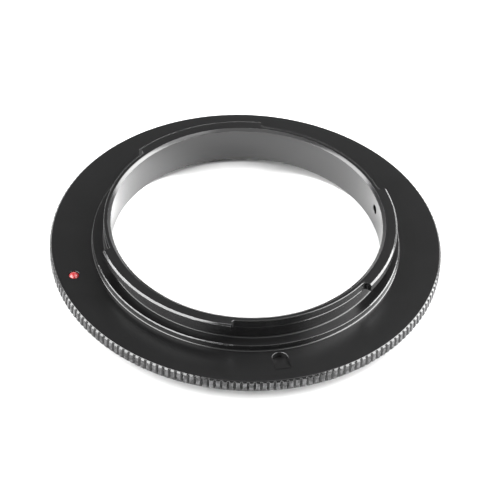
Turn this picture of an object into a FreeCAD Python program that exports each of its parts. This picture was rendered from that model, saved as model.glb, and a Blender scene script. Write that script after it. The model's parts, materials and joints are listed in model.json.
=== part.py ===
import FreeCAD, Part
import Sketcher
import os

# Macro reverse ring: a three-lug camera bayonet on top, a male filter thread below, a knurled flange between.
# Z is the optical axis. The ring stands on the end of its thread at z = 0, bayonet up.
# Azimuths run anticlockwise from +X, seen from above.

doc = FreeCAD.newDocument("MacroReverseRing")

# Driving sizes in millimetres and degrees.
driving = {
    "registerDia": 53.9,
    "registerHeight": 1.2,
    "registerBevel": 0.15,
    "faceWidth": 7.45,
    "flangeThick": 2.35,
    "rimBevel": 0.32,
    "footBevel": 0.3,
    "knurlCount": 190,
    "knurlDepth": 0.3,
    "knurlAngle": 90,
    "lockGap": 2.5,
    "lugThick": 1.55,
    "lugSetback": 0.6,
    "lugReach": 1.39,
    "lugBevel": 0.28,
    "backLugAzimuth": 112.9,
    "backLugSpan": 52.8,
    "frontLugAzimuth": 233.8,
    "frontLugSpan": 64.7,
    "rightLugAzimuth": 354.4,
    "rightLugSpan": 56.4,
    "gapStep": 0.04,
    "cutterRadius": 0.8,
    "rootFillet": 0.25,
    "spigotWall": 1.18,
    "boreBevel": 0.55,
    "boreDrop": 0.33,
    "threadDia": 58,
    "threadHeight": 2.5,
    "threadBevel": 0.45,
    "threadWall": 1.6,
    "reliefWidth": 0.5,
    "reliefDepth": 0.5,
    "recessDepth": 3.2,
    "recessLip": 0.2,
    "slotAzimuth": 283.7,
    "slotInset": 0.7,
    "slotWidth": 2.75,
    "slotLength": 3.75,
    "slotDepth": 1.1,
    "dotAzimuth": 199.9,
    "dotInset": 3.12,
    "dotDia": 1.9,
    "dotDepth": 0.5,
    "dotCrown": 0.3,
    "dotShoulder": 0.3,
    "dotFit": 0.02,
    "pinAzimuth": 18.9,
    "pinDia": 1.6,
    "pinLift": 1.1,
    "pinRecess": 0.8,
    "pinSetback": 0.15,
    "pinBevel": 0.15,
    "pinFit": 0.01,
}

sheet = doc.addObject("Spreadsheet::Sheet", "Sizes")
for row, (alias, size) in enumerate(driving.items(), start=1):
    sheet.set(f"A{row}", alias)
    sheet.set(f"B{row}", str(size))
    sheet.setAlias(f"B{row}", alias)
doc.recompute()

# Radii worked out from the register, which centres the ring in the camera's throat.
registerRadius = "Sizes.registerDia / 2"
flangeRadius = f"({registerRadius} + Sizes.faceWidth)"
lugRadius = f"({registerRadius} - Sizes.lugSetback)"
grooveRadius = f"({lugRadius} - Sizes.lugReach)"
gapRadius = f"({grooveRadius} + Sizes.gapStep)"
boreRadius = f"({grooveRadius} - Sizes.spigotWall)"
threadRadius = "Sizes.threadDia / 2"
recessRadius = f"max({boreRadius} + Sizes.recessLip; {threadRadius} - Sizes.threadWall)"

# Heights stacked from the end of the thread.
flangeTop = "(Sizes.threadHeight + Sizes.flangeThick)"
registerTop = f"({flangeTop} + Sizes.registerHeight)"
lugUnderside = f"({registerTop} + Sizes.lockGap)"
bayonetTop = f"({lugUnderside} + Sizes.lugThick)"
pinHeight = f"({registerTop} + Sizes.pinLift)"

# Places on the flange face: the slot measured from the register wall, the index mark from the rim.
slotInner = f"({registerRadius} + Sizes.slotInset)"
slotOuter = f"({slotInner} + Sizes.slotLength)"
dotRadius = f"({flangeRadius} - Sizes.dotInset)"


def valueOf(expression):
    found = sheet.evalExpression(expression)
    return float(getattr(found, "Value", found))


def newBody(label):
    body = doc.addObject("PartDesign::Body", label)
    body.Label = label
    return body


def newSketch(body, name, plane, turn=None, lift=None):
    # A sketch on one of the body's own planes, turned about the optical axis and lifted along its own normal.
    sketch = body.newObject("Sketcher::SketchObject", name)
    support = next(item for item in body.Origin.OriginFeatures if item.Role == plane)
    sketch.AttachmentSupport = (support, "")
    sketch.MapMode = "FlatFace"
    upright = FreeCAD.Vector(0, 0, 1) if plane == "XY_Plane" else FreeCAD.Vector(0, 1, 0)
    if turn:
        sketch.AttachmentOffset = FreeCAD.Placement(FreeCAD.Vector(), FreeCAD.Rotation(upright, valueOf(turn)))
        sketch.setExpression("AttachmentOffset.Rotation.Angle", turn)
    if lift:
        sketch.setExpression("AttachmentOffset.Base.z", lift)
    return sketch


def bindPoint(sketch, geometry, end, across, up):
    # Ties one point of a sketch to its two distances from the sketch's origin.
    axes = {"DistanceX": (across, -2), "DistanceY": (up, -1)}
    for kind, (expression, axis) in axes.items():
        size = valueOf(expression)
        if size == 0:
            sketch.addConstraint(Sketcher.Constraint("PointOnObject", geometry, end, axis))
        elif size > 0:
            index = sketch.addConstraint(Sketcher.Constraint(kind, -1, 1, geometry, end, size))
            sketch.setExpression(f"Constraints[{index}]", expression)
        else:
            index = sketch.addConstraint(Sketcher.Constraint(kind, geometry, end, -1, 1, -size))
            sketch.setExpression(f"Constraints[{index}]", f"-({expression})")


def bindRadius(sketch, geometry, expression):
    index = sketch.addConstraint(Sketcher.Constraint("Radius", geometry, valueOf(expression)))
    sketch.setExpression(f"Constraints[{index}]", expression)


def drawOutline(sketch, corners):
    # A closed outline of straight lines through the corners, each corner bound to the sheet.
    places = [FreeCAD.Vector(valueOf(across), valueOf(up), 0) for across, up in corners]
    count = len(places)
    for here in range(count):
        sketch.addGeometry(Part.LineSegment(places[here], places[(here + 1) % count]))
    for here in range(count):
        sketch.addConstraint(Sketcher.Constraint("Coincident", here, 2, (here + 1) % count, 1))
    for here, (across, up) in enumerate(corners):
        bindPoint(sketch, here, 1, across, up)


def drawCircle(sketch, across, up, radius):
    centre = FreeCAD.Vector(valueOf(across), valueOf(up), 0)
    sketch.addGeometry(Part.Circle(centre, FreeCAD.Vector(0, 0, 1), valueOf(radius)))
    bindPoint(sketch, 0, 3, across, up)
    bindRadius(sketch, 0, radius)


def addFeature(body, kind, name, sketch, sizes, **settings):
    feature = body.newObject(f"PartDesign::{kind}", name)
    feature.Profile = sketch
    for key, setting in settings.items():
        setattr(feature, key, setting)
    for key, expression in sizes.items():
        feature.setExpression(key, expression)
    sketch.Visibility = False
    doc.recompute()
    return feature


def addTurned(body, name, sketch, angle, midplane=False):
    axis = (sketch, ["V_Axis"])
    return addFeature(body, "Revolution", name, sketch, {"Angle": angle}, ReferenceAxis=axis, Midplane=midplane)


def addCut(body, name, sketch, depth, outward=False):
    # A pocket that has to take material away.
    before = body.Shape.Volume
    feature = addFeature(body, "Pocket", name, sketch, {"Length": depth}, Reversed=outward)
    if not body.Shape.Volume < before:
        raise RuntimeError(f"{name} cuts nothing")
    return feature


def dressEdges(body, kind, name, size, picked):
    # A fillet or a chamfer on the edges that the test picks.
    base = body.Tip
    edges = [f"Edge{number}" for number, edge in enumerate(base.Shape.Edges, start=1) if picked(edge)]
    if not edges:
        raise RuntimeError(f"{name} finds no edge")
    feature = body.newObject(f"PartDesign::{kind}", name)
    feature.Base = (base, edges)
    feature.setExpression("Radius" if kind == "Fillet" else "Size", size)
    doc.recompute()
    return feature


def ringEdge(radius, height):
    # Picks the whole or part circle of this radius about the optical axis at this height.
    def picked(edge):
        if not isinstance(edge.Curve, Part.Circle):
            return False
        sameRadius = abs(edge.Curve.Radius - valueOf(radius)) < tolerance
        return sameRadius and abs(edge.Curve.Center.z - valueOf(height)) < tolerance
    return picked


def lugRootEdge(edge):
    # Picks the upright corners where a lug's ends rise from the milled gaps.
    if not isinstance(edge.Curve, Part.Line):
        return False
    ends = [vertex.Point for vertex in edge.Vertexes]
    onWall = all(abs(end.x ** 2 + end.y ** 2 - valueOf(gapRadius) ** 2) < tolerance for end in ends)
    return onWall and abs(ends[0].z - ends[1].z) > tolerance


tolerance = 1e-4

# The turned ring: thread collar, flange, register, locking groove and spigot in one profile.
ring = newBody("ring_body")
profile = newSketch(ring, "RingProfile", "XZ_Plane")
drawOutline(profile, [
    (recessRadius, "0"),
    (f"{threadRadius} - Sizes.threadBevel", "0"),
    (threadRadius, "Sizes.threadBevel"),
    (threadRadius, "Sizes.threadHeight - Sizes.reliefWidth"),
    (f"{threadRadius} - Sizes.reliefDepth", "Sizes.threadHeight - Sizes.reliefWidth"),
    (f"{threadRadius} - Sizes.reliefDepth", "Sizes.threadHeight"),
    (f"{flangeRadius} - Sizes.footBevel", "Sizes.threadHeight"),
    (flangeRadius, "Sizes.threadHeight + Sizes.footBevel"),
    (flangeRadius, f"{flangeTop} - Sizes.rimBevel"),
    (f"{flangeRadius} - Sizes.rimBevel", flangeTop),
    (registerRadius, flangeTop),
    (registerRadius, f"{registerTop} - Sizes.registerBevel"),
    (f"{registerRadius} - Sizes.registerBevel", registerTop),
    (grooveRadius, registerTop),
    (grooveRadius, lugUnderside),
    (gapRadius, lugUnderside),
    (gapRadius, bayonetTop),
    (f"{boreRadius} + Sizes.boreBevel", bayonetTop),
    (boreRadius, f"{bayonetTop} - Sizes.boreDrop"),
    (boreRadius, "Sizes.recessDepth"),
    (recessRadius, "Sizes.recessDepth"),
])
addTurned(ring, "TurnedRing", profile, "360")

# Three lugs of unequal span, so that the ring goes in one way only.
lugRoot = f"({grooveRadius} - Sizes.spigotWall / 2)"
for lug in ("backLug", "frontLug", "rightLug"):
    section = newSketch(ring, f"{lug}Section", "XZ_Plane", turn=f"Sizes.{lug}Azimuth")
    drawOutline(section, [
        (lugRoot, lugUnderside),
        (lugRadius, lugUnderside),
        (lugRadius, f"{bayonetTop} - Sizes.lugBevel"),
        (f"{lugRadius} - Sizes.lugBevel", bayonetTop),
        (lugRoot, bayonetTop),
    ])
    addTurned(ring, lug, section, f"Sizes.{lug}Span", midplane=True)
dressEdges(ring, "Fillet", "CutterCorners", "Sizes.cutterRadius", lugRootEdge)
dressEdges(ring, "Fillet", "RegisterFoot", "Sizes.rootFillet", ringEdge(registerRadius, flangeTop))
dressEdges(ring, "Fillet", "GrooveFoot", "Sizes.rootFillet", ringEdge(grooveRadius, registerTop))

# Lock-pin slot in the flange face: round and deep at its inner end, with a floor that ramps up outward.
halfSlot = "Sizes.slotWidth / 2"
slotCentre = f"({slotInner} + {halfSlot})"
slot = newSketch(ring, "SlotOutline", "XY_Plane", turn="Sizes.slotAzimuth", lift=flangeTop)
bend = Part.Circle(FreeCAD.Vector(valueOf(slotCentre), 0, 0), FreeCAD.Vector(0, 0, 1), valueOf(halfSlot))
quarter = FreeCAD.Units.Quantity("90 deg").getValueAs("rad").Value
slot.addGeometry(Part.ArcOfCircle(bend, quarter, 3 * quarter))
near = FreeCAD.Vector(valueOf(slotCentre), valueOf(halfSlot), 0)
far = FreeCAD.Vector(valueOf(slotOuter), valueOf(halfSlot), 0)
mirrored = [FreeCAD.Vector(point.x, -point.y, 0) for point in (near, far)]
slot.addGeometry(Part.LineSegment(mirrored[0], mirrored[1]))
slot.addGeometry(Part.LineSegment(mirrored[1], far))
slot.addGeometry(Part.LineSegment(far, near))
for first, second in ((0, 1), (1, 2), (2, 3)):
    slot.addConstraint(Sketcher.Constraint("Coincident", first, 2, second, 1))
slot.addConstraint(Sketcher.Constraint("Coincident", 3, 2, 0, 1))
for end in (1, 2):
    slot.addConstraint(Sketcher.Constraint("Vertical", 0, end, 0, 3))
slot.addConstraint(Sketcher.Constraint("Horizontal", 1))
slot.addConstraint(Sketcher.Constraint("Horizontal", 3))
bindPoint(slot, 0, 3, slotCentre, "0")
bindRadius(slot, 0, halfSlot)
reach = slot.addConstraint(Sketcher.Constraint("DistanceX", -1, 1, 2, 1, valueOf(slotOuter)))
slot.setExpression(f"Constraints[{reach}]", slotOuter)
addCut(ring, "LockSlot", slot, "Sizes.slotDepth")
ramp = newSketch(ring, "SlotRamp", "XZ_Plane", turn="Sizes.slotAzimuth")
drawOutline(ramp, [
    (slotInner, f"{flangeTop} - Sizes.slotDepth"),
    (slotOuter, f"{flangeTop} - Sizes.slotDepth"),
    (slotOuter, flangeTop),
])
addFeature(ring, "Pad", "LockRamp", ramp, {"Length": "Sizes.slotWidth"}, Midplane=True)

# Dimple for the index mark.
dimple = newSketch(ring, "DimpleOutline", "XY_Plane", turn="Sizes.dotAzimuth", lift=flangeTop)
drawCircle(dimple, dotRadius, "0", "Sizes.dotDia / 2")
addCut(ring, "IndexDimple", dimple, "Sizes.dotDepth")

# Cross hole for the stop pin, drilled outward from the bore into the locking groove.
drill = newSketch(ring, "PinHoleOutline", "YZ_Plane", turn="Sizes.pinAzimuth")
drawCircle(drill, "0", pinHeight, "Sizes.pinDia / 2")
addCut(ring, "PinHole", drill, flangeRadius, outward=True)

# Straight knurl: one V groove across the rim, repeated round the flange.
groove = newSketch(ring, "KnurlGroove", "XY_Plane", lift=flangeTop)
grooveHalf = "(2 * Sizes.knurlDepth * tan(Sizes.knurlAngle / 2 * 1deg))"
drawOutline(groove, [
    (f"{flangeRadius} - Sizes.knurlDepth", "0"),
    (f"{flangeRadius} + Sizes.knurlDepth", f"-{grooveHalf}"),
    (f"{flangeRadius} + Sizes.knurlDepth", grooveHalf),
])
tooth = addCut(ring, "KnurlCut", groove, "Sizes.flangeThick")
knurl = ring.newObject("PartDesign::PolarPattern", "Knurl")
knurl.Originals = [tooth]
knurl.Axis = (groove, ["N_Axis"])
knurl.Angle = 360
knurl.setExpression("Occurrences", "Sizes.knurlCount")
ring.Tip = knurl

# Index mark: a bead of enamel that stands in the dimple, its shoulder below the flange face, its crown above.
dot = newBody("index_dot")
dotEdge = "(Sizes.dotDia / 2 - Sizes.dotFit)"
dotFloor = f"{flangeTop} - Sizes.dotDepth"
dotPeak = f"{flangeTop} + Sizes.dotCrown"
dotShoulder = f"{flangeTop} - Sizes.dotShoulder"
crownRise = "(Sizes.dotCrown + Sizes.dotShoulder)"
crownRadius = f"(({dotEdge} ^ 2 + {crownRise} ^ 2) / (2 * {crownRise}))"
drop = newSketch(dot, "DropSection", "XZ_Plane")
peak = FreeCAD.Vector(0, valueOf(dotPeak), 0)
shoulder = FreeCAD.Vector(valueOf(dotEdge), valueOf(dotShoulder), 0)
foot = FreeCAD.Vector(valueOf(dotEdge), valueOf(dotFloor), 0)
base = FreeCAD.Vector(0, valueOf(dotFloor), 0)
dome = Part.Circle(peak - FreeCAD.Vector(0, valueOf(crownRadius), 0), FreeCAD.Vector(0, 0, 1), valueOf(crownRadius))
drop.addGeometry(Part.ArcOfCircle(dome, dome.parameter(shoulder), dome.parameter(peak)))
drop.addGeometry(Part.LineSegment(peak, base))
drop.addGeometry(Part.LineSegment(base, foot))
drop.addGeometry(Part.LineSegment(foot, shoulder))
for first, second in ((0, 1), (1, 2), (2, 3)):
    drop.addConstraint(Sketcher.Constraint("Coincident", first, 2, second, 1))
drop.addConstraint(Sketcher.Constraint("Coincident", 3, 2, 0, 1))
drop.addConstraint(Sketcher.Constraint("PointOnObject", 0, 3, -2))
bindPoint(drop, 1, 1, "0", dotPeak)
bindPoint(drop, 2, 1, "0", dotFloor)
bindPoint(drop, 3, 1, dotEdge, dotFloor)
bindPoint(drop, 3, 2, dotEdge, dotShoulder)
addTurned(dot, "Drop", drop, "360")
dot.setExpression("Placement.Base.x", f"{dotRadius} * cos(Sizes.dotAzimuth * 1deg)")
dot.setExpression("Placement.Base.y", f"{dotRadius} * sin(Sizes.dotAzimuth * 1deg)")

# Stop pin: pressed in from outside, its inner end a little short of the bore, its tip just inside the lugs.
pin = newBody("stop_pin")
pinStart = f"({boreRadius} + Sizes.pinRecess)"
pinEnd = f"({lugRadius} - Sizes.pinSetback)"
circle = newSketch(pin, "PinOutline", "YZ_Plane", turn="Sizes.pinAzimuth")
drawCircle(circle, "0", pinHeight, "Sizes.pinDia / 2 - Sizes.pinFit")
circle.setExpression("AttachmentOffset.Base.x", f"{pinStart} * sin(Sizes.pinAzimuth * 1deg)")
circle.setExpression("AttachmentOffset.Base.z", f"{pinStart} * cos(Sizes.pinAzimuth * 1deg)")
addFeature(pin, "Pad", "Shank", circle, {"Length": f"{pinEnd} - {pinStart}"})
dressEdges(pin, "Chamfer", "PinEnds", "Sizes.pinBevel", lambda edge: isinstance(edge.Curve, Part.Circle))

doc.recompute()
failed = [item.Name for item in doc.Objects if {"Invalid", "Error"} & set(item.State)]
if failed:
    raise RuntimeError(f"objects that failed: {failed}")
bodies = [ring, dot, pin]
for body in bodies:
    if body.Shape.isNull() or not body.Shape.isValid():
        raise RuntimeError(f"{body.Label} has no valid shape")
os.makedirs("parts", exist_ok=True)
for body in bodies:
    body.Shape.exportStep(f"parts/{body.Label}.step")
    print(body.Label, "volume in cubic millimetres", round(body.Shape.Volume, 2), "solids", len(body.Shape.Solids))
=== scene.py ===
import json
import math

import bmesh
import bpy
import numpy as np
from mathutils import Matrix, Vector


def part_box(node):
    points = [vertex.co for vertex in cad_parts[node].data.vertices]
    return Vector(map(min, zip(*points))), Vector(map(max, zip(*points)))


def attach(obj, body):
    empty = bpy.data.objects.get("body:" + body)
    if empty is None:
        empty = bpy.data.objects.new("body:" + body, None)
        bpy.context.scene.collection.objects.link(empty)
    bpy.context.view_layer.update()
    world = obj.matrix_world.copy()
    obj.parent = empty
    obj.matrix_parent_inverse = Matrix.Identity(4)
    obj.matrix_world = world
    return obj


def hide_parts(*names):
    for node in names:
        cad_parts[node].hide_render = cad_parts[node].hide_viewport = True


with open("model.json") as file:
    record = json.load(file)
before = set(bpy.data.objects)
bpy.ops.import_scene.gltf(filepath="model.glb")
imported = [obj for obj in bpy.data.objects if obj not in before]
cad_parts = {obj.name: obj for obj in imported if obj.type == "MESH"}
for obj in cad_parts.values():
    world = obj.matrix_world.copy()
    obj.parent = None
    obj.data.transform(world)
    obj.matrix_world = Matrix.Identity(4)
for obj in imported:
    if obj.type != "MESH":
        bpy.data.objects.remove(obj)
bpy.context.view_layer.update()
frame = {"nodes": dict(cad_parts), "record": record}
mm = 0.001
mounts = {mount["name"]: mount for mount in frame["record"]["mounts"]}
print("frame loaded:", sorted(frame["nodes"]))


# Shared shader effects

def addNode(tree, kind, place, **settings):
    node = tree.nodes.new(kind)
    node.location = place
    for key, setting in settings.items():
        setattr(node, key, setting)
    return node


def setInputs(node, values):
    for label, value in values.items():
        node.inputs[label].default_value = value


def newGroup(name, inputs, outputs):
    group = bpy.data.node_groups.new(name, "ShaderNodeTree")
    for label, start in inputs.items():
        socket = group.interface.new_socket(label, in_out="INPUT", socket_type="NodeSocketFloat")
        socket.default_value = start
    for label in outputs:
        group.interface.new_socket(label, in_out="OUTPUT", socket_type="NodeSocketFloat")
    given = addNode(group, "NodeGroupInput", (-900, 0))
    out = addNode(group, "NodeGroupOutput", (700, 0))
    return group, given, out


def mathNode(tree, operation, place, first, second=None):
    # each operand is a socket or a plain number
    node = addNode(tree, "ShaderNodeMath", place, operation=operation)
    for slotNumber, operand in enumerate((first, second)):
        if operand is None:
            continue
        if isinstance(operand, (int, float)):
            node.inputs[slotNumber].default_value = operand
        else:
            tree.links.new(operand, node.inputs[slotNumber])
    return node.outputs[0]


def smoothStep(tree, place, source, low, high):
    node = addNode(tree, "ShaderNodeMapRange", place, interpolation_type="SMOOTHSTEP")
    setInputs(node, {"From Min": low, "From Max": high})
    tree.links.new(source, node.inputs["Value"])
    return node.outputs[0]


def addNoise(group, place, perMm, values):
    # noise in the piece's own space; perMm is the socket with its rate
    where = addNode(group, "ShaderNodeTexCoord", (place[0] - 450, place[1] + 80))
    rate = mathNode(group, "MULTIPLY", (place[0] - 220, place[1] - 140), perMm, 1 / mm)
    noise = addNode(group, "ShaderNodeTexNoise", place)
    setInputs(noise, values)
    group.links.new(where.outputs["Object"], noise.inputs["Vector"])
    group.links.new(rate, noise.inputs["Scale"])
    return noise.outputs["Fac"]


def buildLatheMarks():
    # fine rings left by the turning tool: they follow radius on flat faces and height on walls
    group, given, out = newGroup("latheMarks", {"Lines per mm": 6.0, "Waver": 0.1}, ["Height", "Tone"])
    where = addNode(group, "ShaderNodeTexCoord", (-900, 300))
    parts = addNode(group, "ShaderNodeSeparateXYZ", (-720, 300))
    group.links.new(where.outputs["Object"], parts.inputs[0])
    across, along, height = (parts.outputs[axis] for axis in "XYZ")
    squares = mathNode(group, "ADD", (-400, 300),
                       mathNode(group, "MULTIPLY", (-560, 380), across, across),
                       mathNode(group, "MULTIPLY", (-560, 220), along, along))
    radius = mathNode(group, "SQRT", (-260, 300), squares)
    perMetre = mathNode(group, "MULTIPLY", (-560, 60), given.outputs["Lines per mm"], 1 / mm)
    drift = addNode(group, "ShaderNodeTexNoise", (-560, -120))
    setInputs(drift, {"Scale": 60.0})
    group.links.new(where.outputs["Object"], drift.inputs["Vector"])
    waver = mathNode(group, "MULTIPLY", (-380, -120), drift.outputs["Fac"], given.outputs["Waver"])
    spun = addNode(group, "ShaderNodeCombineXYZ", (60, 160))
    group.links.new(mathNode(group, "MULTIPLY", (-100, 300), radius, perMetre), spun.inputs["X"])
    group.links.new(mathNode(group, "MULTIPLY", (-100, 120), height, perMetre), spun.inputs["Y"])
    group.links.new(waver, spun.inputs["Z"])
    lines = addNode(group, "ShaderNodeTexNoise", (240, 160))
    setInputs(lines, {"Scale": 1.0, "Detail": 3.0})
    group.links.new(spun.outputs[0], lines.inputs["Vector"])
    group.links.new(lines.outputs["Fac"], out.inputs["Height"])
    tone = smoothStep(group, (440, -60), lines.outputs["Fac"], low=0.3, high=0.7)
    group.links.new(tone, out.inputs["Tone"])
    return group


def buildBlastGrain():
    # the fine tooth of a blasted and dyed surface, with a slower mottle under it
    rates = {"Grains per mm": 9.0, "Mottle per mm": 0.3}
    group, given, out = newGroup("blastGrain", rates, ["Height", "Tone"])
    fineShare, slowShare = 0.45, 0.55
    fine = addNoise(group, (-200, 200), given.outputs["Grains per mm"], {"Detail": 4.0, "Roughness": 0.65})
    slow = addNoise(group, (-200, -100), given.outputs["Mottle per mm"], {"Detail": 5.0, "Distortion": 0.4})
    mixed = mathNode(group, "ADD", (300, -40),
                     mathNode(group, "MULTIPLY", (60, 100), fine, fineShare),
                     mathNode(group, "MULTIPLY", (60, -160), slow, slowShare))
    group.links.new(fine, out.inputs["Height"])
    group.links.new(mixed, out.inputs["Tone"])
    return group


def buildEdgeWear():
    # where edges have rubbed: the mesh's own edge mask, broken up by noise
    group, given, out = newGroup("edgeWear", {"Amount": 0.5, "Patches per mm": 1.5}, ["Mask"])
    edge = addNode(group, "ShaderNodeAttribute", (-200, 240), attribute_name="edgeMask")
    patches = addNoise(group, (-420, -120), given.outputs["Patches per mm"], {"Detail": 4.0})
    broken = smoothStep(group, (-200, -120), patches, low=0.38, high=0.68)
    worn = mathNode(group, "MULTIPLY", (60, 120), edge.outputs["Fac"], broken)
    group.links.new(mathNode(group, "MULTIPLY", (260, 60), worn, given.outputs["Amount"]), out.inputs["Mask"])
    return group


def buildHandling():
    # soft smears from handling, to either side of zero, for the gloss only
    group, given, out = newGroup("handling", {"Smears per mm": 0.12, "Contrast": 0.5}, ["Mask"])
    smear = addNoise(group, (-300, 100), given.outputs["Smears per mm"], {"Detail": 6.0, "Distortion": 1.2})
    centred = mathNode(group, "SUBTRACT", (-80, 100), smear, 0.5)
    mask = mathNode(group, "MULTIPLY", (120, 100), centred, given.outputs["Contrast"])
    group.links.new(mask, out.inputs["Mask"])
    return group


latheMarks = buildLatheMarks()
blastGrain = buildBlastGrain()
edgeWear = buildEdgeWear()
handling = buildHandling()
print("shader groups made")


def newMaterial(name):
    material = bpy.data.materials.new(name)
    material.use_nodes = True
    tree = material.node_tree
    tree.nodes.clear()
    shader = addNode(tree, "ShaderNodeBsdfPrincipled", (500, 0))
    result = addNode(tree, "ShaderNodeOutputMaterial", (800, 0))
    tree.links.new(shader.outputs[0], result.inputs["Surface"])
    return material, tree, shader


def useGroup(tree, group, place, values):
    node = addNode(tree, "ShaderNodeGroup", place, node_tree=group)
    setInputs(node, values)
    return node.outputs


def spreadValue(tree, place, source, low, high):
    node = addNode(tree, "ShaderNodeMapRange", place)
    setInputs(node, {"To Min": low, "To Max": high})
    tree.links.new(source, node.inputs["Value"])
    return node.outputs[0]


def mixColour(tree, place, factor, first, second):
    node = addNode(tree, "ShaderNodeMix", place, data_type="RGBA")
    tree.links.new(factor, node.inputs["Factor"])
    for label, colour in (("A", first), ("B", second)):
        socket = next(item for item in node.inputs if item.name == label and item.type == "RGBA")
        if isinstance(colour, tuple):
            socket.default_value = colour
        else:
            tree.links.new(colour, socket)
    return next(item for item in node.outputs if item.type == "RGBA")


def addBump(tree, shader, height, strength, depth):
    bump = addNode(tree, "ShaderNodeBump", (200, -400))
    setInputs(bump, {"Strength": strength, "Distance": depth * mm})
    tree.links.new(height, bump.inputs["Height"])
    tree.links.new(bump.outputs[0], shader.inputs["Normal"])


# Finishes of the ring, one for each way that its surfaces were cut
anodisedLooks = {
    "satinFace": {
        "grains": 9.0, "mottle": 0.25, "lines": 7.0, "waver": 0.15, "wear": 0.5, "patches": 1.6,
        "smear": 0.05, "dark": (0.0016, 0.0016, 0.0017, 1), "pale": (0.0036, 0.0036, 0.0037, 1),
        "smooth": 0.285, "rough": 0.305, "grainDepth": 0.9, "lineDepth": 0.05, "relief": 0.4, "bend": 1.505,
    },
    "turnedWall": {
        "grains": 12.0, "mottle": 0.3, "lines": 10.0, "waver": 0.1, "wear": 0.5, "patches": 1.6,
        "smear": 0.04, "dark": (0.003, 0.003, 0.0031, 1), "pale": (0.006, 0.006, 0.0061, 1),
        "smooth": 0.14, "rough": 0.19, "grainDepth": 0.2, "lineDepth": 0.3, "relief": 0.3, "bend": 1.46,
    },
    "milledBayonet": {
        "grains": 11.0, "mottle": 0.35, "lines": 8.0, "waver": 0.2, "wear": 0.5, "patches": 1.4,
        "smear": 0.04, "dark": (0.003, 0.003, 0.0031, 1), "pale": (0.006, 0.006, 0.0061, 1),
        "smooth": 0.14, "rough": 0.20, "grainDepth": 0.5, "lineDepth": 0.4, "relief": 0.3, "bend": 1.62,
    },
    "milledSlot": {
        "grains": 8.0, "mottle": 0.5, "lines": 6.0, "waver": 0.3, "wear": 0.9, "patches": 1.6,
        "smear": 0.05, "dark": (0.003, 0.003, 0.0031, 1), "pale": (0.008, 0.008, 0.0081, 1),
        "smooth": 0.32, "rough": 0.4, "grainDepth": 0.8, "lineDepth": 0.8, "relief": 0.6, "bend": 1.5,
    },
    "knurledRim": {
        "grains": 12.0, "mottle": 0.4, "lines": 5.0, "waver": 0.1, "wear": 0.9, "patches": 1.2,
        "smear": 0.08, "dark": (0.004, 0.004, 0.0041, 1), "pale": (0.009, 0.009, 0.0091, 1),
        "smooth": 0.18, "rough": 0.26, "grainDepth": 0.4, "lineDepth": 0.4, "relief": 0.4, "bend": 1.47,
    },
    "cutThread": {
        "grains": 12.0, "mottle": 0.4, "lines": 12.0, "waver": 0.1, "wear": 0.6, "patches": 1.2,
        "smear": 0.06, "dark": (0.004, 0.004, 0.0041, 1), "pale": (0.008, 0.008, 0.0081, 1),
        "smooth": 0.22, "rough": 0.32, "grainDepth": 0.3, "lineDepth": 0.5, "relief": 0.4, "bend": 1.5,
    },
}
anodisedShared = {"bareMetal": (0.42, 0.42, 0.43, 1), "smears": 0.12, "reliefDepth": 0.01}


def blackAnodised(name, look):
    material, tree, shader = newMaterial(name)
    grain = useGroup(tree, blastGrain, (-900, 300),
                     {"Grains per mm": look["grains"], "Mottle per mm": look["mottle"]})
    lines = useGroup(tree, latheMarks, (-900, 0), {"Lines per mm": look["lines"], "Waver": look["waver"]})
    wear = useGroup(tree, edgeWear, (-900, -300), {"Amount": look["wear"], "Patches per mm": look["patches"]})
    smear = useGroup(tree, handling, (-900, -600),
                     {"Smears per mm": anodisedShared["smears"], "Contrast": look["smear"]})
    dyed = mixColour(tree, (-500, 300), grain["Tone"], look["dark"], look["pale"])
    rubbed = mixColour(tree, (-200, 200), wear["Mask"], dyed, anodisedShared["bareMetal"])
    tree.links.new(rubbed, shader.inputs["Base Color"])
    tree.links.new(wear["Mask"], shader.inputs["Metallic"])
    gloss = spreadValue(tree, (-500, -100), lines["Tone"], look["smooth"], look["rough"])
    tree.links.new(mathNode(tree, "ADD", (-260, -160), gloss, smear["Mask"]), shader.inputs["Roughness"])
    relief = mathNode(tree, "ADD", (-260, -420),
                      mathNode(tree, "MULTIPLY", (-500, -360), grain["Height"], look["grainDepth"]),
                      mathNode(tree, "MULTIPLY", (-500, -520), lines["Height"], look["lineDepth"]))
    addBump(tree, shader, relief, look["relief"], anodisedShared["reliefDepth"])
    setInputs(shader, {"IOR": look["bend"]})
    return material


zoneNames = list(anodisedLooks)
ringMaterials = [blackAnodised(name, look) for name, look in anodisedLooks.items()]
print("anodised finishes made:", len(ringMaterials))


# The ring: one closed skin of turned rows, with the knurl, lugs and thread in the rows themselves

ringForm = {  # millimetres and degrees
    "flangeThick": 2.35, "rimBevel": 0.32, "footBevel": 0.3, "footRun": 0.6,
    "toothCount": 190, "toothDepth": 0.3, "toothOpening": 0.6,
    "registerHeight": 1.2, "registerBevel": 0.15, "registerBreak": 0.08, "rootFillet": 0.25,
    "lugs": ((112.9, 52.8), (233.8, 64.7), (354.4, 56.4)),  # azimuth and span of each
    "lugSetback": 0.6, "lugReach": 1.39, "lugThick": 1.55, "lugBevel": 0.28, "cutterRadius": 0.8,
    "gapStep": 0.04, "gapBreak": 0.09, "gapLedge": 0.06, "ledgeSlope": 0.3,
    "boreBevel": 0.55, "boreDrop": 0.33,
    "threadPitch": 0.75, "threadBevel": 0.45, "threadWall": 1.6,
    "threadCrest": 1 / 16, "threadRoot": 3 / 8, "threadDepth": 0.541,  # shares of the pitch
    "reliefWidth": 0.5, "reliefDepth": 0.5, "recessDepth": 3.2,
    "softEdge": 0.03, "edgeBreak": 0.06, "smoothAngle": 35,
    "faceRows": 6, "undersideRows": 4, "boreRows": 6, "filletSteps": 6, "threadRows": 25,
}
boreRadius = mounts["through_bore"]["dims"]["r_mm"]
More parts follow.
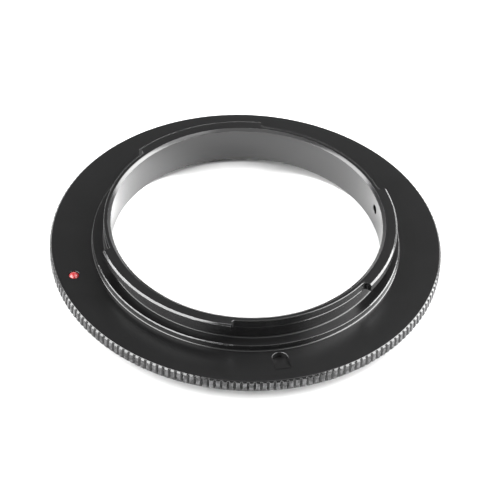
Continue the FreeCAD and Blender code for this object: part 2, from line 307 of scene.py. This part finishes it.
registerRadius = mounts["camera_register"]["dims"]["r_mm"]
threadRadius = mounts["lens_thread"]["dims"]["r_mm"]
flangeTop = mounts["mount_face"]["pos_m"][2] / mm
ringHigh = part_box("ring_body")[1]
flangeRadius = ringHigh.y / mm
ringTop = ringHigh.z / mm
flangeFoot = flangeTop - ringForm["flangeThick"]
registerTop = flangeTop + ringForm["registerHeight"]
lugRadius = registerRadius - ringForm["lugSetback"]
grooveRadius = lugRadius - ringForm["lugReach"]
gapRadius = grooveRadius + ringForm["gapStep"]
lugFoot = ringTop - ringForm["lugThick"]
reliefRadius = threadRadius - ringForm["reliefDepth"]
recessRadius = threadRadius - ringForm["threadWall"]

# columns of one knurl tooth, as shares of the pitch from the groove's middle: valley, flanks, crest
toothColumns = np.array([-0.42, -0.295, -0.23, -0.02, 0.02, 0.23, 0.295, 0.42])
pitchAngle = 360 / ringForm["toothCount"]
pitchLength = math.radians(pitchAngle) * flangeRadius
rimAngles = ((np.arange(ringForm["toothCount"])[:, None] + toothColumns) * pitchAngle).ravel()
evenAngles = rimAngles[::2]
openingShare = ringForm["toothOpening"] / 2 / pitchLength
toothCut = ringForm["toothDepth"] * np.clip(1 - np.abs(toothColumns) / openingShare, 0, 1)
grooveWall = flangeRadius - np.tile(toothCut, ringForm["toothCount"])


def gatherColumns(angles):
    # columns drawn together past the lug ends, in millimetres, so that the cutter's radius comes out round
    past = np.array([-0.2, -0.06, -0.018, -0.001, 0.001, 0.04, 0.11, 0.2, 0.32, 0.46, 0.62, 0.8])
    window = 14  # columns to each side that make room
    gathered = angles.copy()
    for azimuth, span in ringForm["lugs"]:
        for side in (-1, 1):
            end = (azimuth + side * span / 2) % 360
            middle = int(np.argmin(np.abs(angles - end)))
            first = middle - len(past) // 2
            offsets = np.sort(side * past)
            known = [middle - window, *range(first, first + len(past)), middle + window]
            places = [angles[known[0]], *(end + np.degrees(offsets / gapRadius)), angles[known[-1]]]
            inside = np.arange(known[0], known[-1] + 1)
            gathered[inside] = np.interp(inside, known, places)
    return gathered


lugAngles = gatherColumns(evenAngles)


def bayonetWall(angles):
    # outer radius and top bevel round the bayonet: lugs with round-cut roots, milled gaps between them
    wall = np.full(len(angles), gapRadius)
    bevel = np.full(len(angles), ringForm["gapBreak"])
    cutter, soft = ringForm["cutterRadius"], ringForm["edgeBreak"]
    for azimuth, span in ringForm["lugs"]:
        away = np.abs((angles - azimuth + 180) % 360 - 180) - span / 2
        run = np.radians(away) * gapRadius  # negative on the lug
        root = (run >= 0) & (run < cutter)
        wall[root] = gapRadius + cutter - np.sqrt(cutter ** 2 - (cutter - run[root]) ** 2)
        corner = np.clip(soft + run, 0, soft)
        onLug = run < 0
        wall[onLug] = (lugRadius - soft + np.sqrt(soft ** 2 - corner ** 2))[onLug]
        bevel[onLug] = ringForm["lugBevel"]
    return wall, bevel


def threadWave(angles, height):
    # radius of the screw thread there: flat crest, flat root, straight flanks
    pitch, crest, root = ringForm["threadPitch"], ringForm["threadCrest"], ringForm["threadRoot"]
    phase = height / pitch - angles / 360
    fromCrest = np.abs((phase + 0.5) % 1 - 0.5)
    depth = ringForm["threadDepth"] * pitch
    cut = np.clip((fromCrest - crest) / (root - crest), 0, 1) * depth
    return np.minimum(threadRadius - cut, threadRadius - ringForm["threadBevel"] + height)


ringRows = []  # radius, height, column angles, and the finish of the band up to the next row


def addRow(radius, height, angles, zone):
    count = len(angles)
    ringRows.append((np.broadcast_to(radius, count), np.broadcast_to(height, count), angles,
                     zoneNames.index(zone)))


def addFillet(wallRadius, faceHeight, zone):
    # hollow quarter round where a wall comes down to a face
    size = ringForm["rootFillet"]
    for turn in np.radians(np.linspace(180, 270, ringForm["filletSteps"])):
        addRow(wallRadius + size + size * math.cos(turn), faceHeight + size + size * math.sin(turn),
               lugAngles, zone)


def buildRows():
    soft, breakSize = ringForm["softEdge"], ringForm["edgeBreak"]
    onBevel, onShallow = 0.7 * soft, 0.4 * soft  # how far a softened edge goes on along a bevel
    rim, foot = ringForm["rimBevel"], ringForm["footBevel"]
    bevelRows = (0.06, 0.15, 0.25)  # millimetres along the rim bevels

    # flange face, from the register's root out to the rim
    for share in np.linspace(0, 1, ringForm["faceRows"] + 1)[:-1]:
        radius = registerRadius + ringForm["rootFillet"]
        radius += share * (flangeRadius - rim - soft - radius)
        addRow(radius, flangeTop, lugAngles + share * (evenAngles - lugAngles), "satinFace")

    # knurled rim: each row is cut back to the groove walls
    rimRows = [(rim + soft, 0), (rim - onBevel, onBevel)]
    rimRows += [(rim - drop, drop) for drop in bevelRows]
    rimRows += [(onBevel, rim - onBevel), (0, rim + soft), (0, ringForm["flangeThick"] / 2)]
    footRows = [(0, foot + soft), (onBevel, foot - onBevel)]
    footRows += [(foot - rise, rise) for rise in reversed(bevelRows)]
    footRows += [(foot - onBevel, onBevel), (foot + soft, 0)]
    for inset, drop in rimRows:
        zone = "milledBayonet" if inset > soft else "knurledRim"
        addRow(np.minimum(flangeRadius - inset, grooveWall), flangeTop - drop, rimAngles, zone)
    for inset, rise in footRows:
        addRow(np.minimum(flangeRadius - inset, grooveWall), flangeFoot + rise, rimAngles, "knurledRim")

    # underside of the flange, thread relief, thread
    footEnd = flangeRadius - foot - ringForm["footRun"]
    for radius in np.linspace(footEnd, reliefRadius, ringForm["undersideRows"]):
        addRow(radius, flangeFoot, evenAngles, "satinFace" if radius > reliefRadius else "turnedWall")
    threadTop = flangeFoot - ringForm["reliefWidth"]
    addRow(reliefRadius, threadTop, evenAngles, "turnedWall")
    for height in np.linspace(threadTop, 0, ringForm["threadRows"]):
        zone = "cutThread" if height > 0 else "turnedWall"
        addRow(threadWave(evenAngles, height), height, evenAngles, zone)

    # end of the thread, counterbore, bore
    recess = ringForm["recessDepth"]
    recessRows = (
        (recessRadius + breakSize, 0), (recessRadius, breakSize), (recessRadius, recess),
        ((recessRadius + boreRadius) / 2, recess), (boreRadius + breakSize, recess),
    )
    for radius, height in recessRows:
        addRow(radius, height, evenAngles, "turnedWall")
    boreEnd = ringTop - ringForm["boreDrop"]
    low, high = recess + breakSize, boreEnd - soft
    for share in np.linspace(0, 1, ringForm["boreRows"]):
        angles = evenAngles + share * (lugAngles - evenAngles)
        addRow(boreRadius, low + share * (high - low), angles, "turnedWall")
    innerLip = boreRadius + ringForm["boreBevel"]
    addRow(boreRadius + onBevel, boreEnd + onShallow, lugAngles, "milledBayonet")
    addRow(innerLip - onBevel, ringTop - onShallow, lugAngles, "turnedWall")
    addRow(innerLip + soft, ringTop, lugAngles, "satinFace")

    # bayonet: top face, lugs and gaps, then the locking groove under them
    wall, bevel = bayonetWall(lugAngles)
    outerLip = wall - bevel - soft
    for share, zone in ((1 / 3, "satinFace"), (2 / 3, "satinFace"), (1, "milledBayonet")):
        addRow(innerLip + soft + share * (outerLip - innerLip - soft), ringTop, lugAngles, zone)
    inGap = wall < gapRadius + breakSize
    ledge = np.where(inGap, ringForm["gapLedge"], 0)
    lugRows = (
        (wall - bevel + onBevel, ringTop - onBevel),
        (wall - onBevel, ringTop - bevel + onBevel),
        (wall, ringTop - bevel - soft),
        (wall, (ringTop + lugFoot) / 2),
        (wall, lugFoot + breakSize),
        (np.where(inGap, gapRadius + ledge, wall - breakSize), lugFoot),
        (np.where(inGap, gapRadius + ledge, grooveRadius), lugFoot - ringForm["ledgeSlope"] * ledge),
        (grooveRadius, (lugFoot + registerTop) / 2),
    )
    for radius, height in lugRows:
        addRow(radius, height, lugAngles, "milledBayonet")
    addFillet(grooveRadius, registerTop, "satinFace")

    # register: top face, bevel, wall, and the root that runs into the flange face
    registerBevel = np.where(inGap, ringForm["registerBreak"], ringForm["registerBevel"])
    addRow((grooveRadius + registerRadius) / 2, registerTop, lugAngles, "satinFace")
    registerRows = (
        (registerRadius - registerBevel - soft, registerTop),
        (registerRadius - registerBevel + onBevel, registerTop - onBevel),
        (registerRadius - onBevel, registerTop - registerBevel + onBevel),
        (registerRadius, registerTop - registerBevel - soft),
    )
    for radius, height in registerRows:
        addRow(radius, height, lugAngles, "milledBayonet")
    addFillet(registerRadius, flangeTop, "milledBayonet")
    ringRows.pop()  # the last point of that fillet is the first row


def newObject(name, data):
    made = bpy.data.objects.new(name, data)
    bpy.context.scene.collection.objects.link(made)
    return made


def closeMesh(work, mesh):
    bmesh.ops.recalc_face_normals(work, faces=work.faces)
    work.to_mesh(mesh)
    work.free()


def skinRows(name):
    points, starts = [], []
    for radius, height, angles, zone in ringRows:
        starts.append(len(points))
        turn = np.radians(angles)
        points.extend(np.column_stack((radius * np.cos(turn), radius * np.sin(turn), height)) * mm)
    faces, zones = [], []
    for number, (radius, height, angles, zone) in enumerate(ringRows):
        following = (number + 1) % len(ringRows)
        here, there = starts[number], starts[following]
        count, nextCount = len(angles), len(ringRows[following][2])
        columns = min(count, nextCount)
        for column in range(columns):
            beside = (column + 1) % columns
            if count == nextCount:
                faces.append((here + column, there + column, there + beside, here + beside))
                zones.append(zone)
                continue
            # a coarse row meets a fine one: three triangles to each coarse column
            coarse, fine = (here, there) if count < nextCount else (there, here)
            left, right = coarse + column, coarse + beside
            low, high = fine + 2 * column, fine + 2 * beside
            faces.extend(((left, low, low + 1), (left, low + 1, right), (right, low + 1, high)))
            zones.extend((zone, zone, zone))
    mesh = bpy.data.meshes.new(name)
    mesh.from_pydata(points, [], faces)
    mesh.polygons.foreach_set("material_index", zones)
    work = bmesh.new()
    work.from_mesh(mesh)
    closeMesh(work, mesh)
    return newObject(name, mesh)


buildRows()
ring = skinRows("anodised_ring")
print("ring skin:", len(ringRows), "rows,", len(ring.data.polygons), "faces")


# Cuts in the skin: lock slot, dimple of the index mark, cross hole of the stop pin

slotForm = {  # over and overRun only take the cutter clear of the face
    "azimuth": 283.7, "inset": 0.7, "width": 2.75, "length": 3.75, "depth": 1.1, "lip": 0.05,
    "over": 0.3, "overRun": 0.9, "bendSteps": 28,
}
dimpleForm = {"radius": 0.95, "depth": 0.5, "lip": 0.04, "over": 0.4, "steps": 64}
holeForm = {"radius": 0.8, "reach": 1.6, "lip": 0.06, "over": 0.8, "steps": 60}
dotLow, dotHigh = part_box("index_dot")
dotCentre = (dotLow + dotHigh) / 2
pinLow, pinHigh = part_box("stop_pin")
pinCentre = (pinLow + pinHigh) / 2


def joinLoops(work, loops):
    for lower, upper in zip(loops, loops[1:]):
        for here in range(len(lower)):
            beside = (here + 1) % len(lower)
            work.faces.new((lower[here], lower[beside], upper[beside], upper[here]))


def loftSolid(name, sections, place, zone):
    # a closed solid through sections of equal point count, in millimetres, capped at both ends
    mesh = bpy.data.meshes.new(name)
    work = bmesh.new()
    loops = [[work.verts.new(Vector(point) * mm) for point in section] for section in sections]
    joinLoops(work, loops)
    work.faces.new(loops[0])
    work.faces.new(loops[-1])
    for face in work.faces:
        face.material_index = zoneNames.index(zone)
    closeMesh(work, mesh)
    solid = newObject(name, mesh)
    solid.matrix_world = place
    return solid


def discs(stations, steps):
    # round sections along Z: pairs of radius and height
    turns = np.linspace(0, 2 * math.pi, steps, endpoint=False)
    return [[(radius * math.cos(turn), radius * math.sin(turn), height) for turn in turns]
            for radius, height in stations]


def turnedTo(azimuth):
    return Matrix.Rotation(math.radians(azimuth), 4, "Z")


def slotCutter():
    # outline of the slot at the floor, under the lip, at the face and above it; the floor ramps up outward
    half, lip, over = slotForm["width"] / 2, slotForm["lip"], slotForm["over"]
    inner = registerRadius + slotForm["inset"]
    rise = slotForm["depth"] / slotForm["length"]
    outer = inner + slotForm["length"] + slotForm["overRun"] * over / rise
    floor = flangeTop - slotForm["depth"]
    turns = np.linspace(math.pi / 2, 3 * math.pi / 2, slotForm["bendSteps"])
    sections = []
    for grow, level in ((0, 0), (0, flangeTop - lip), (lip, flangeTop), (lip, flangeTop + over)):
        size = half + grow
        outline = [(inner + half + size * math.cos(turn), size * math.sin(turn)) for turn in turns]
        outline += [(outer, -size), (outer, size)]
        sections.append([(x, y, max(level, floor + (x - inner) * rise)) for x, y in outline])
    return loftSolid("slotCutter", sections, turnedTo(slotForm["azimuth"]), "milledSlot")


def dimpleCutter():
    radius, lip = dimpleForm["radius"], dimpleForm["lip"]
    stations = ((radius, flangeTop - dimpleForm["depth"]), (radius, flangeTop - lip),
                (radius + lip, flangeTop), (radius + lip, flangeTop + dimpleForm["over"]))
    place = Matrix.Translation((dotCentre.x, dotCentre.y, 0))
    return loftSolid("dimpleCutter", discs(stations, dimpleForm["steps"]), place, "satinFace")


def holeCutter():
    radius, lip = holeForm["radius"], holeForm["lip"]
    mouth = radius + 2 * lip
    stations = ((mouth, boreRadius - holeForm["over"]), (mouth, boreRadius - lip),
                (radius, boreRadius + lip), (radius, registerRadius + holeForm["reach"]))
    azimuth = math.degrees(math.atan2(pinCentre.y, pinCentre.x))
    lying = Matrix.Rotation(math.pi / 2, 4, "Y")
    place = Matrix.Translation((0, 0, pinCentre.z)) @ turnedTo(azimuth) @ lying
    return loftSolid("holeCutter", discs(stations, holeForm["steps"]), place, "turnedWall")


def cutRing(cutters):
    for cutter in cutters:
        cut = ring.modifiers.new(cutter.name, "BOOLEAN")
        cut.operation = "DIFFERENCE"
        cut.solver = "EXACT"
        cut.object = cutter
    bpy.context.view_layer.update()
    finished = ring.evaluated_get(bpy.context.evaluated_depsgraph_get())
    mesh = bpy.data.meshes.new_from_object(finished)
    ring.modifiers.clear()
    ring.data = mesh
    for cutter in cutters:
        bpy.data.objects.remove(cutter)


cutRing([slotCutter(), dimpleCutter(), holeCutter()])
print("ring cut:", len(ring.data.polygons), "faces")


wearForm = {  # how far each edge has rubbed, from 0 to 1
    "rim": 0.4, "register": 0.8, "lugTop": 1.0, "lugFoot": 0.8, "gap": 0.5, "boreTop": 0.3, "recess": 0.5,
    "crest": 0.18, "crestEdge": 0.36, "slotLip": 0.2,
    "reach": 0.04, "crestReach": 0.05,  # millimetres from the edge
    "crestFrom": 0.22, "crestEdgeTo": 0.3,  # shares of the knurl's pitch from the groove's middle
}


def readFaces(mesh, field, width):
    values = np.empty(len(mesh.polygons) * width, np.float32)
    mesh.polygons.foreach_get(field, values)
    return values.reshape(-1, width).astype(float)


def markEdges(piece):
    # a mask on the narrow faces along turned and milled edges and tooth crests, for the wear
    middles = readFaces(piece.data, "center", 3) / mm
    radius, height = np.hypot(middles[:, 0], middles[:, 1]), middles[:, 2]
    foot, registerBevel, lugBevel = (ringForm[key] for key in ("footBevel", "registerBevel", "lugBevel"))
    edges = {  # radius and height of each
        "rim": ((flangeRadius, flangeTop - ringForm["rimBevel"]),
                (flangeRadius, flangeFoot + foot), (flangeRadius - foot, flangeFoot)),
        "register": ((registerRadius - registerBevel, registerTop),
                     (registerRadius, registerTop - registerBevel)),
        "lugTop": ((lugRadius - lugBevel, ringTop), (lugRadius, ringTop - lugBevel)),
        "lugFoot": ((lugRadius, lugFoot),),
        "gap": ((gapRadius, ringTop), (gapRadius, lugFoot)),
        "boreTop": ((boreRadius + ringForm["boreBevel"], ringTop),
                    (boreRadius, ringTop - ringForm["boreDrop"])),
        "recess": ((boreRadius, ringForm["recessDepth"]), (recessRadius, 0)),
    }
    mask = np.zeros(len(radius))
    for key, places in edges.items():
        for edgeRadius, edgeHeight in places:
            away = np.hypot(radius - edgeRadius, height - edgeHeight)
            mask[away < wearForm["reach"]] = wearForm[key]
    share = np.abs((np.degrees(np.arctan2(middles[:, 1], middles[:, 0])) / pitchAngle + 0.5) % 1 - 0.5)
    onRim = (radius > flangeRadius - wearForm["crestReach"]) & (height > flangeFoot) & (height < flangeTop)
    crest = onRim & (share > wearForm["crestFrom"])
    onEdge = share[crest] < wearForm["crestEdgeTo"]
    mask[crest] = np.where(onEdge, wearForm["crestEdge"], wearForm["crest"])
    lipBand = (height > flangeTop - slotForm["lip"]) & (height < flangeTop)
    inSlot = readFaces(piece.data, "material_index", 1).ravel() == zoneNames.index("milledSlot")
    mask[lipBand & inSlot] = wearForm["slotLip"]
    layer = piece.data.attributes.new("edgeMask", "FLOAT", "FACE")
    layer.data.foreach_set("value", mask.astype(np.float32))


def smoothFaces(piece, angle):
    # each corner takes the mean, by area, of the faces that it meets under the angle: wide faces stay flat
    mesh = piece.data
    mesh.polygons.foreach_set("use_smooth", [True] * len(mesh.polygons))
    facing, area = readFaces(mesh, "normal", 3), readFaces(mesh, "area", 1)
    sides = readFaces(mesh, "loop_total", 1).ravel().astype(int)
    face = np.repeat(np.arange(len(sides)), sides)
    point = np.empty(len(mesh.loops), np.int32)
    mesh.loops.foreach_get("vertex_index", point)
    order = np.argsort(point, kind="stable")
    counts = np.bincount(point, minlength=len(mesh.vertices))
    first = (np.cumsum(counts) - counts)[point]
    meeting = counts[point]
    rank = np.empty(len(point), int)
    rank[order] = np.arange(len(point))
    total = np.zeros((len(point), 3))
    for step in range(counts.max()):
        other = face[order[first + (rank - first + step) % meeting]]
        near = (facing[face] * facing[other]).sum(axis=1) > math.cos(math.radians(angle))
        total += (near & (step < meeting))[:, None] * area[other] * facing[other]
    mesh.normals_split_custom_set(total / np.linalg.norm(total, axis=1)[:, None])


markEdges(ring)
smoothFaces(ring, ringForm["smoothAngle"])
for material in ringMaterials:
    ring.data.materials.append(material)
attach(ring, "root")
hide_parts("ring_body")
print("ring finished")


# Index mark: a bead of red enamel that stands in the dimple

dotForm = {  # millimetres and degrees
    "crown": 0.3, "shoulder": 0.3, "sink": 0.5, "gap": 0.02, "rings": 18, "steps": 72, "smoothAngle": 40,
    "deepRed": (0.18, 0.009, 0.011, 1), "paleRed": (0.27, 0.016, 0.019, 1), "grains": 3.0, "mottle": 0.9,
    "smears": 0.8, "smear": 0.12, "rough": 0.26, "relief": 0.25, "reliefDepth": 0.02,
    "coat": 0.4, "coatRough": 0.18,
}


def redEnamel():
    material, tree, shader = newMaterial("redEnamel")
    grain = useGroup(tree, blastGrain, (-700, 200),
                     {"Grains per mm": dotForm["grains"], "Mottle per mm": dotForm["mottle"]})
    smear = useGroup(tree, handling, (-700, -100),
                     {"Smears per mm": dotForm["smears"], "Contrast": dotForm["smear"]})
    paint = mixColour(tree, (-300, 200), grain["Tone"], dotForm["deepRed"], dotForm["paleRed"])
    tree.links.new(paint, shader.inputs["Base Color"])
    gloss = mathNode(tree, "ADD", (-300, -100), smear["Mask"], dotForm["rough"])
    tree.links.new(gloss, shader.inputs["Roughness"])
    addBump(tree, shader, grain["Height"], dotForm["relief"], dotForm["reliefDepth"])
    setInputs(shader, {"Coat Weight": dotForm["coat"], "Coat Roughness": dotForm["coatRough"]})
    return material


def buildDot(name):
    edge = dimpleForm["radius"] - dotForm["gap"]
    rise = dotForm["crown"] + dotForm["shoulder"]
    domeRadius = (edge ** 2 + rise ** 2) / (2 * rise)
    domeTop = flangeTop + dotForm["crown"]
    profile = [(edge, flangeTop - dotForm["sink"])]  # radius and height from the dimple's floor to the crown
    for lean in np.linspace(math.asin(edge / domeRadius), 0, dotForm["rings"])[:-1]:
        profile.append((domeRadius * math.sin(lean), domeTop - domeRadius * (1 - math.cos(lean))))
    mesh = bpy.data.meshes.new(name)
    work = bmesh.new()
    base = Vector((dotCentre.x, dotCentre.y, 0))
    loops = [[work.verts.new(Vector(point) * mm + base) for point in disc]
             for disc in discs(profile, dotForm["steps"])]
    peak = work.verts.new((dotCentre.x, dotCentre.y, dotHigh.z))
    joinLoops(work, loops)
    for here in range(dotForm["steps"]):
        work.faces.new((loops[-1][here], loops[-1][(here + 1) % dotForm["steps"]], peak))
    work.faces.new(loops[0])
    closeMesh(work, mesh)
    return newObject(name, mesh)


dot = buildDot("enamel_dot")
smoothFaces(dot, dotForm["smoothAngle"])
dot.data.materials.append(redEnamel())
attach(dot, "root")
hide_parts("index_dot")
print("index mark made")


# Stop pin: the solid from the frame, in ground steel

pinForm = {
    "dark": (0.36, 0.36, 0.37, 1), "pale": (0.56, 0.56, 0.57, 1), "grains": 14.0, "mottle": 1.2,
    "lines": 16.0, "waver": 0.1, "smooth": 0.26, "rough": 0.42, "relief": 0.3, "reliefDepth": 0.01,
}


def groundSteel():
    material, tree, shader = newMaterial("groundSteel")
    grain = useGroup(tree, blastGrain, (-700, 200),
                     {"Grains per mm": pinForm["grains"], "Mottle per mm": pinForm["mottle"]})
    lines = useGroup(tree, latheMarks, (-700, -100),
                     {"Lines per mm": pinForm["lines"], "Waver": pinForm["waver"]})
    metal = mixColour(tree, (-300, 200), grain["Tone"], pinForm["dark"], pinForm["pale"])
    tree.links.new(metal, shader.inputs["Base Color"])
    gloss = spreadValue(tree, (-300, -60), lines["Tone"], pinForm["smooth"], pinForm["rough"])
    tree.links.new(gloss, shader.inputs["Roughness"])
    addBump(tree, shader, lines["Height"], pinForm["relief"], pinForm["reliefDepth"])
    setInputs(shader, {"Metallic": 1.0})
    return material


pin = frame["nodes"]["stop_pin"]
pin.data.materials.clear()
pin.data.materials.append(groundSteel())
print("stop pin finished")


# Floor, lights, world and camera

floorForm = {  # half is half the side, in metres
    "half": 3.0, "white": (0.65, 0.65, 0.65, 1), "shade": (0.61, 0.61, 0.61, 1),
    "grains": 1.5, "mottle": 0.01, "rough": 0.7,
}


def buildFloor():
    half = floorForm["half"]
    corners = [(-half, -half, 0), (half, -half, 0), (half, half, 0), (-half, half, 0)]
    mesh = bpy.data.meshes.new("floor")
    mesh.from_pydata(corners, [], [(0, 1, 2, 3)])
    material, tree, shader = newMaterial("paleFloor")
    grain = useGroup(tree, blastGrain, (-600, 100),
                     {"Grains per mm": floorForm["grains"], "Mottle per mm": floorForm["mottle"]})
    paper = mixColour(tree, (-200, 100), grain["Tone"], floorForm["shade"], floorForm["white"])
    tree.links.new(paper, shader.inputs["Base Color"])
    setInputs(shader, {"Roughness": floorForm["rough"]})
    mesh.materials.append(material)
    floor = newObject("floor", mesh)


lightForm = {  # azimuth and elevation in degrees, distance and size in metres, power in watts
    "leftSoftbox": {"azimuth": 198, "elevation": 38, "distance": 1.1, "power": 47,
                    "width": 1.5, "height": 0.9},
    "rightSoftbox": {"azimuth": 3, "elevation": 29, "distance": 1.1, "power": 55,
                     "width": 1.4, "height": 1.05},
    "highSoftbox": {"azimuth": 30, "elevation": 60, "distance": 1.1, "power": 7,
                    "width": 0.8, "height": 0.8},
}
fillForm = {  # narrow lamps on the floor inside the ring, which the bore mirrors; aim and reach in millimetres
    "leftFill": {"azimuth": 340, "elevation": 50, "distance": 0.6, "power": 58,
                 "aim": (-13.5, 12.5), "reach": 10.5, "softness": 0.002},
    "middleFill": {"azimuth": 270, "elevation": 50, "distance": 0.6, "power": 14,
                   "aim": (-4, 16), "reach": 13, "softness": 0.002},
    "rightFill": {"azimuth": 200, "elevation": 50, "distance": 0.6, "power": 43,
                  "aim": (9.5, 15), "reach": 10.5, "softness": 0.002},
}


def placeLamp(name, light, form, aim):
    light.energy = form["power"]
    lamp = newObject(name, light)
    turn, lift = math.radians(form["azimuth"]), math.radians(form["elevation"])
    away = Vector((math.cos(turn) * math.cos(lift), math.sin(turn) * math.cos(lift), math.sin(lift)))
    lamp.location = aim + away * form["distance"]
    lamp.rotation_mode = "QUATERNION"
    lamp.rotation_quaternion = away.to_track_quat("Z", "Y")
    lamp.visible_camera = False


def addSoftbox(name, form):
    light = bpy.data.lights.new(name, "AREA")
    light.shape = "RECTANGLE"
    light.size, light.size_y = form["width"], form["height"]
    placeLamp(name, light, form, Vector())


def addFill(name, form):
    light = bpy.data.lights.new(name, "SPOT")
    light.spot_size = 2 * math.atan(form["reach"] * mm / form["distance"])
    light.spot_blend = 1.0
    light.shadow_soft_size = form["softness"]
    placeLamp(name, light, form, Vector((*form["aim"], 0)) * mm)


worldForm = {  # brightness by the height of the direction: a pale sweep behind the ring, a dim room before it
    "sweep": {0.05: 1.8, 0.57: 0.4, 0.70: 0.06, 0.82: 0.1, 0.94: 0.35},
    "room": {0.05: 0.3, 0.45: 0.22, 0.88: 0.2, 0.95: 1.6},
    "blend": 0.35,  # how far to each side of the middle the one goes over into the other
}


def addRamp(tree, place, heights, source):
    ramp = addNode(tree, "ShaderNodeValToRGB", place)
    stops = ramp.color_ramp.elements
    while len(stops) < len(heights):
        stops.new(0.5)
    for stop, (height, level) in zip(stops, heights.items()):
        stop.position = height
        stop.color = (level, level, level, 1)
    tree.links.new(source, ramp.inputs[0])
    return ramp.outputs[0]


def buildWorld():
    world = bpy.data.worlds.new("studio")
    world.use_nodes = True
    tree = world.node_tree
    tree.nodes.clear()
    where = addNode(tree, "ShaderNodeTexCoord", (-900, 0))
    parts = addNode(tree, "ShaderNodeSeparateXYZ", (-720, 0))
    tree.links.new(where.outputs["Generated"], parts.inputs[0])
    sweep = addRamp(tree, (-460, 200), worldForm["sweep"], parts.outputs["Z"])
    room = addRamp(tree, (-460, -60), worldForm["room"], parts.outputs["Z"])
    behind = smoothStep(tree, (-460, -320), parts.outputs["Y"], -worldForm["blend"], worldForm["blend"])
    sky = addNode(tree, "ShaderNodeBackground", (100, 0))
    result = addNode(tree, "ShaderNodeOutputWorld", (300, 0))
    tree.links.new(mixColour(tree, (-120, 0), behind, room, sweep), sky.inputs["Color"])
    tree.links.new(sky.outputs[0], result.inputs["Surface"])
    bpy.context.scene.world = world


cameraForm = {  # millimetres and degrees; aside and above place the flange face's centre in the picture
    "lens": 216.0, "sensor": 36.0, "elevation": 43.42, "roll": 3.03, "distance": 527.4,
    "aside": -0.73, "above": 1.465, "near": 10, "far": 20000,
}


def addCamera():
    data = bpy.data.cameras.new("camera")
    data.lens, data.sensor_width = cameraForm["lens"], cameraForm["sensor"]
    data.clip_start, data.clip_end = cameraForm["near"] * mm, cameraForm["far"] * mm
    lift, roll = math.radians(cameraForm["elevation"]), math.radians(cameraForm["roll"])
    forward = Vector((0, math.cos(lift), -math.sin(lift)))
    level = Vector((1, 0, 0))
    upright = Vector((0, math.sin(lift), math.cos(lift)))
    right = math.cos(roll) * level + math.sin(roll) * upright
    up = math.cos(roll) * upright - math.sin(roll) * level
    target = Vector((0, 0, flangeTop))
    spot = target - cameraForm["aside"] * right - cameraForm["above"] * up - cameraForm["distance"] * forward
    camera = newObject("camera", data)
    axes = Matrix((right, up, -forward)).transposed().to_4x4()
    camera.matrix_world = Matrix.Translation(spot * mm) @ axes
    bpy.context.scene.camera = camera


buildFloor()
for name, form in lightForm.items():
    addSoftbox(name, form)
for name, form in fillForm.items():
    addFill(name, form)
buildWorld()
addCamera()
bpy.context.scene.view_settings.view_transform = "Standard"
print("floor, lights and camera set")
